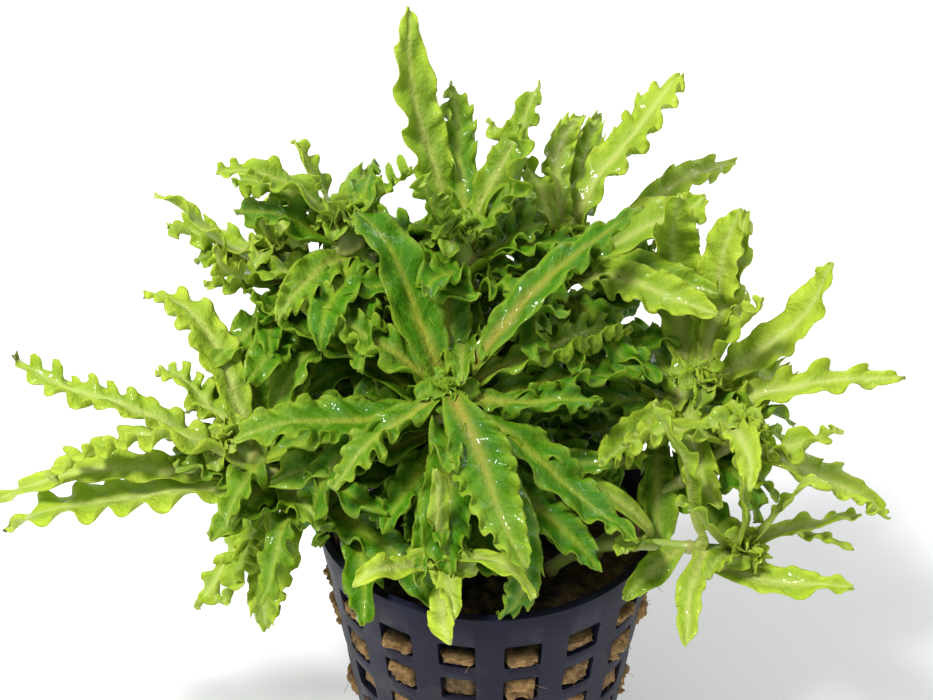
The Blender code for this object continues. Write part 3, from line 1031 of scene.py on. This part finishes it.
rim_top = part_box("net_pot")[1].z
for shoot, (line, radii) in stem_lines.items():
    draw = np.random.default_rng(700 + len(shoot) + ord(shoot[0]))
    fine, stem_length = even_line(line, STEM_SAMPLES)
    clear_of_rim = fine[fine[:, 2] > rim_top + 1.5 * MM]
    free = len(clear_of_rim) / STEM_SAMPLES * stem_length / MM
    grown, whorl = [], 0
    down = 7.0
    while down < free and shoot not in BARE_SHOOTS:
        for k in range(4):
            bearing = k * 90 + whorl * 45 + draw.uniform(-18, 18)
            outward = math.cos(math.radians(bearing - math.degrees(
                math.atan2(line[-1][1], line[-1][0] + 1e-9))))
            length = draw.uniform(18, 27) * (1 - 0.22 * max(0.0, outward))
            midrib, faces = grow_from_stem(
                shoot, down, bearing, draw.uniform(5, 45), draw.uniform(30, 75),
                draw.uniform(-12, 12), length,
            )
            habit = {
                "twist": draw.uniform(-30, 30),
                "roll": draw.uniform(-20, 20),
                "ruffle": draw.uniform(0.8, 1.3),
                "wave": draw.uniform(0.85, 1.35),
                "youth": draw.uniform(-0.05, 0.22),
                "blush": 0.2,
            }
            width = draw.uniform(5.0, 7.0) * MM
            if blocks_the_mouth(midrib):
                continue
            grown.append(
                make_leaf(
                    f"{shoot}_inner_{len(grown)}", midrib, faces, width, habit,
                    8000 + len(grown), inner_blank,
                )
            )
        whorl += 1
        down += INNER_WHORL_GAP
    if grown:
        inner = join(f"inner_leaves_{shoot}", grown)
        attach(inner, "root")
    print("inner leaves", shoot, len(grown))

# %% [markdown]
# ## Growing tips
#
# Each stem ends in a rosette of leaves that are only starting, 2 to 8 mm long, the
# smallest upright in the middle. They are made from a coarser blank, because there are
# many of them and they are tiny.

# %% Grow the tips
GOLDEN_ANGLE = 2.399
LEAFLETS, LEAFLET_STRIDES = 22, 6

for shoot, (line, radii) in stem_lines.items():
    draw = np.random.default_rng(sum(map(ord, shoot)))
    axis = unit(line[-1] - line[-2])
    upward = unit(axis + np.array([0, 0, 0.8]))
    across = unit(np.cross(upward, [0.3, 0.9, 0.1]))
    third = np.cross(upward, across)
    leaflets = []
    for k in range(LEAFLETS):
        share = k / (LEAFLETS - 1)
        angle = k * GOLDEN_ANGLE + draw.uniform(-0.3, 0.3)
        out = across * math.cos(angle) + third * math.sin(angle)
        length = (1.8 + 4.4 * share**1.5) * MM * draw.uniform(0.8, 1.2)
        rise = math.radians(86 - 62 * share + draw.uniform(-10, 10))
        bend = math.radians(30 + 70 * share)
        place = line[-1] - axis * (0.2 + 1.6 * share) * MM
        slopes = rise - bend * np.arange(LEAFLET_STRIDES + 1) / LEAFLET_STRIDES
        outs = [out] * len(slopes)
        midrib, faces = arch(place, outs, upward, slopes, length / LEAFLET_STRIDES)
        habit = {
            "ruffle": 0.42,
            "wave": 0.55,
            "youth": SHOOT_HABIT[shoot]["youth"] * 0.5 + 0.16,
            "blush": 0.1,
            "twist": draw.uniform(-20, 20),
            "fold": 0.6,
        }
        leaflets.append(
            make_leaf(
                f"leaflet_{k}", midrib, faces, (2.3 + 1.6 * share) * MM, habit,
                3000 + k, leaflet_blank, 0.55 * MM,
            )
        )
    tip = join(f"growing_tip_{shoot}", leaflets)
    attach(tip, "root")
print("growing tips:", len(stem_lines))

# %% [markdown]
# ## Stems
#
# A stem blank is a cylinder cut into short lengths, and each stem is a copy bent along
# its packed centre line. It swells at each node, where leaves sit.

# %% Model the stem blank and bend the stems
STEM_SIDES, STEM_CUTS = 14, 79
stem_blank = ringed_cylinder("stem_blank", STEM_SIDES, STEM_CUTS)
print("stem blank rings:", STEM_CUTS + 2, "faces:", len(stem_blank.data.polygons))


def frames_along(line):
    """Two directions square to the line at each place, which turn as little as they can."""
    ahead = directions_of(line)
    side = np.empty_like(ahead)
    side[0] = unit(np.cross(ahead[0], [0.2, 1.0, 0.3]))
    for k in range(1, len(line)):
        side[k] = unit(side[k - 1] - ahead[k] * (side[k - 1] @ ahead[k]))
    return side, np.cross(ahead, side)


def bend_blank(blank, line, radius):
    """A copy of a ringed blank bent along a line, and each point's place in that line."""
    flat = places_of(blank.data)
    ring_of = np.rint(flat[:, 2] * (len(line) - 1)).astype(int)
    side, other = frames_along(line)
    spread = flat[:, :1] * side[ring_of] + flat[:, 1:2] * other[ring_of]
    mesh = blank.data.copy()
    put_places(mesh, line[ring_of] + spread * np.broadcast_to(radius, len(line))[ring_of, None])
    return mesh, ring_of


wool_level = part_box("rock_wool_plug")[1].z
for shoot, (line, radii) in stem_lines.items():
    fine, length = even_line(line, STEM_CUTS + 2)
    down = np.linspace(length, 0, STEM_CUTS + 2)
    radius = np.interp(np.linspace(0, 1, STEM_CUTS + 2), np.linspace(0, 1, len(radii)), radii)
    whorls = np.arange(1.0, length / MM, 4.2 if shoot != "runner" else 8.0) * MM
    ring = np.exp(-(((down[:, None] - whorls[None]) / (0.55 * MM)) ** 2)).max(axis=1)
    radius = radius * (0.92 + 0.30 * ring)
    radius[-1] *= 0.55
    mesh, ring_of = bend_blank(stem_blank, fine, radius)
    mark(mesh, "node_ring", ring[ring_of])
    mark(mesh, "buried", smoothstep(wool_level + 4 * MM, wool_level, fine[ring_of][:, 2]))
    stem = new_piece(f"shoot_stem_{shoot}", mesh, stem_finish)
    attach(stem, "root")
    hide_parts(f"stem_{shoot}")
print("stems bent:", len(stem_lines))

# %% [markdown]
# ## The net pot
#
# A net pot is a thin cone with rows of windows. All its columns are alike, so one column
# is modelled flat: a plane is cut by bisecting along the sides of its windows, the window
# faces are deleted, and the windows' corners are rounded. An Array repeats it sixteen
# times, and the strip is then rolled into the cone in code and given its wall.

# %% Cut one flat column
POT_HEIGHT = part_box("net_pot")[1].z
RIM_RADIUS = 26.0 * MM
BASE_RADIUS = 18.3 * MM
WALL = 1.2 * MM
COLUMNS = 16
CORNER_RADIUS = 0.42 * MM
EDGE_ROUNDING = 0.16 * MM
WINDOW_SHARE = 0.57
WINDOW_HEIGHT = 4.8 * MM
WINDOW_TOPS = [44.2 * MM - 7.5 * MM * k for k in range(5)]
WINDOW_SPANS = [(top - WINDOW_HEIGHT, top) for top in WINDOW_TOPS]

deselect_all()
bpy.ops.mesh.primitive_plane_add(size=1, location=(0.5, 0.5, 0))
pot = named("slatted_pot")
bpy.ops.object.transform_apply(location=True)
side_cuts = [0.5 - WINDOW_SHARE / 2, 0.5 + WINDOW_SHARE / 2]
fill_cuts = [0.11, 0.33, 0.42, 0.5, 0.58, 0.67, 0.89]
height_cuts = [z / POT_HEIGHT for span in WINDOW_SPANS for z in span]


def cut_column():
    for cut in side_cuts + fill_cuts:
        bpy.ops.mesh.select_all(action="SELECT")
        bpy.ops.mesh.bisect(plane_co=(cut, 0, 0), plane_no=(1, 0, 0))
    for cut in height_cuts:
        bpy.ops.mesh.select_all(action="SELECT")
        bpy.ops.mesh.bisect(plane_co=(0, cut, 0), plane_no=(0, 1, 0))


edit(pot, cut_column, "EDGE")
print("column faces:", len(pot.data.polygons))

# %% Open its windows
for polygon in pot.data.polygons:
    x, y = polygon.center.x, polygon.center.y * POT_HEIGHT
    inside = side_cuts[0] < x < side_cuts[1]
    polygon.select = inside and any(low < y < high for low, high in WINDOW_SPANS)
edit(pot, lambda: bpy.ops.mesh.delete(type="FACE"), "FACE")
for vertex in pot.data.vertices:
    vertex.select = any(abs(vertex.co.x - x) < 1e-4 for x in side_cuts) and any(
        abs(vertex.co.y - y) < 1e-4 for y in height_cuts
    )
print("column corners rounded:", sum(v.select for v in pot.data.vertices))
# The flat column is stretched to real millimetres before its corners are rounded.
column_width = TAU * (RIM_RADIUS + BASE_RADIUS) / 2 / COLUMNS
put_places(pot.data, places_of(pot.data) * np.array([column_width, POT_HEIGHT, 1]))


def round_corners():
    bpy.ops.mesh.bevel(
        offset=CORNER_RADIUS, segments=3, affect="VERTICES", clamp_overlap=True
    )


edit(pot, round_corners, "VERT")

# %% Roll sixteen columns into a cone
apply_modifier(
    pot, "ARRAY", count=COLUMNS, use_merge_vertices=True, merge_threshold=1e-6
)
flat = places_of(pot.data)
angle = math.radians(270) + TAU * flat[:, 0] / (column_width * COLUMNS)
radius = BASE_RADIUS + (RIM_RADIUS - BASE_RADIUS) * flat[:, 1] / POT_HEIGHT
put_places(
    pot.data, np.column_stack([radius * np.cos(angle), radius * np.sin(angle), flat[:, 1]])
)


def close_seam():
    bpy.ops.mesh.select_all(action="SELECT")
    bpy.ops.mesh.remove_doubles(threshold=2e-6)


def close_floor():
    bpy.ops.mesh.edge_face_add()
    bpy.ops.mesh.select_all(action="SELECT")
    bpy.ops.mesh.normals_make_consistent(inside=False)


edit(pot, close_seam, "VERT")
for vertex in pot.data.vertices:
    vertex.select = vertex.co.z < 1e-5
edit(pot, close_floor, "VERT")
print("rolled pot faces:", len(pot.data.polygons))

# %% Give the pot its wall
apply_modifier(pot, "SOLIDIFY", thickness=WALL, offset=-1, use_even_offset=True)
apply_modifier(
    pot, "BEVEL", width=EDGE_ROUNDING, segments=2, limit_method="ANGLE",
    angle_limit=math.radians(50), use_clamp_overlap=True,
)
bpy.ops.object.shade_smooth_by_angle(angle=math.radians(35))
pot.data.materials.append(pot_finish)
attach(pot, "root")
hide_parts("net_pot")
print("pot faces:", len(pot.data.polygons), "height:", POT_HEIGHT)

# %% [markdown]
# ## The rock wool plug
#
# The plug was pushed in wet, so it swells through the windows: here as a tuft that stands
# out, there a hollow. A cylinder is cut into a fine net of faces, and each point is moved in
# code: out through its window by that window's own amount, and then by rough noise at
# the size of the tufts. Painted light is marked for the finish: tufts that stand out
# through the windows get painted light, the plug behind the pot wall painted shade, and
# its top deep painted shade with a painted lighter patch on its +X side.

# %% Cut the plug's surface into a net
WOOL_SIDES, WOOL_LEVELS = 320, 95
wool = ringed_cylinder("wool_plug", WOOL_SIDES, WOOL_LEVELS, "TRIFAN")
for edge in wool.data.edges:
    ends = [wool.data.vertices[v].co for v in edge.vertices]
    at_crown = all(abs(end.z - 1) < 1e-5 for end in ends)
    edge.select = at_crown and min(math.hypot(end.x, end.y) for end in ends) < 0.5
edit(wool, lambda: bpy.ops.mesh.subdivide(number_cuts=40), "EDGE")
print("wool faces:", len(wool.data.polygons))

# %% Roughen the net
wool_low, wool_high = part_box("rock_wool_plug")
FIT = 0.15 * MM  # air between the plug and the pot's slanted wall
DOME = 1.5 * MM
foot, crown = wool_low.z, wool_high.z - DOME
places = places_of(wool.data)
bearing = np.arctan2(places[:, 1], places[:, 0])
share = np.hypot(places[:, 0], places[:, 1])
height = foot + places[:, 2] * (crown - foot)
outer_cone = BASE_RADIUS + (RIM_RADIUS - BASE_RADIUS) * height / POT_HEIGHT
cone = outer_cone - WALL * 1.02 - FIT
rough, tuft = np.empty((2, len(places)))
for k, (x, y, z) in enumerate(
    np.column_stack([np.cos(bearing) * share * cone, np.sin(bearing) * share * cone, height])
):
    spot = Vector((x, y, z))
    rough[k] = noise.fractal(spot * 900, 0.6, 2.2, 5)
    tuft[k] = noise.noise(spot * 420 + Vector((7, 3, 1)))
print("tufts from", round(tuft.min(), 2), "to", round(tuft.max(), 2))

# %% Swell the plug through its windows
draw = np.random.default_rng(41)
window_push = draw.uniform(0.1, 1.0, (COLUMNS, len(WINDOW_TOPS))) ** 0.8
column_at = ((bearing - math.radians(270)) / TAU * COLUMNS) % COLUMNS
column = np.floor(column_at).astype(int) % COLUMNS
from_middle = np.abs(column_at - np.floor(column_at) - 0.5) / (WINDOW_SHARE / 2)
push, painted_light = np.zeros((2, len(places)))
ragged = 0.16 * tuft + 0.08 * rough
for row, window_top in enumerate(WINDOW_TOPS):
    from_centre = np.abs(height - (window_top - WINDOW_HEIGHT / 2)) / (WINDOW_HEIGHT / 2)
    hole = 1 - smoothstep(0.74, 1.0, np.maximum(from_middle, from_centre) + ragged)
    amount = window_push[column, row]
    push = np.maximum(push, hole * amount * 2.0 * MM)
    painted_light = np.maximum(painted_light, hole * (0.35 + 0.75 * amount))
on_side = share > 0.999
tufted = (push / (1.0 * MM) + 0.12) * (0.50 * tuft + 0.36 * rough) * MM
radius = cone * share
radius[on_side] += (push + tufted)[on_side]
radius = np.where(on_side, np.minimum(radius, cone + 2.6 * MM), radius)
dome = DOME * (1 - share**2) + (0.9 * tuft + 0.35 * rough) * MM * (share < 0.97)
is_top = places[:, 2] > 0.9999
z = np.where(is_top, height + dome * (share < 0.999), height)
put_places(
    wool.data, np.column_stack([radius * np.cos(bearing), radius * np.sin(bearing), z])
)
# The top is painted in deep shade, as under the leaves, with painted light on its +X side; on the
# sides, tufts out through the windows get painted light and the rest painted shade.
lit_side = 0.45 * smoothstep(0.30, 0.90, share * np.cos(bearing))
light = np.where(on_side, painted_light + 0.3 * rough, 0.06 + lit_side + 0.25 * tuft + 0.2 * rough)
mark(wool.data, "painted_light", np.clip(light, 0, 1))
wool.data.materials.append(wool_finish)
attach(wool, "root")
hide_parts("rock_wool_plug")

# %% [markdown]
# Loose fibres stand out of the tufts. Each is a three-sided rod, bent a little, rooted
# just under the plug's surface where it fills a window.

# %% Loose fibres
FIBRES, FIBRE_CUTS = 520, 4
fibre_blank = ringed_cylinder("fibre_blank", 3, FIBRE_CUTS)
surface_places = places_of(wool.data)
outward = unit(surface_places * [1, 1, 0])
roots = draw.permutation(np.flatnonzero(on_side & (light > 0.75)))[:FIBRES]
fibres = []
for root in roots:
    aim = unit(outward[root] * 0.30 + unit(draw.normal(size=3)))
    bend = unit(draw.normal(size=3)) * draw.uniform(0.5, 1.6)
    reach = np.linspace(0, draw.uniform(0.6, 1.5) * MM, FIBRE_CUTS + 2)[:, None]
    line = surface_places[root] - outward[root] * 0.3 * MM + aim * reach
    line = line + bend * reach**2 / (2 * MM)
    mesh, _ = bend_blank(fibre_blank, line, draw.uniform(0.025, 0.045) * MM)
    # Fibres get full painted light, so none of them is painted in shade.
    mark(mesh, "painted_light", np.ones(len(mesh.vertices)))
    fibres.append(new_piece("fibre", mesh, wool_finish))
loose_fibres = join("loose_fibres", fibres)
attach(loose_fibres, "root")
print("loose fibres:", len(fibres), "faces:", len(loose_fibres.data.polygons))

# %% [markdown]
# ## Clearing up
#
# The blanks that the pieces were copied from are removed. The grown bunch may stand a
# little proud of the imported box, and no more.

# %% Remove the blanks
for blank in (leaf_blank[0], inner_blank[0], leaflet_blank[0], stem_blank, fibre_blank):
    bpy.data.objects.remove(blank)
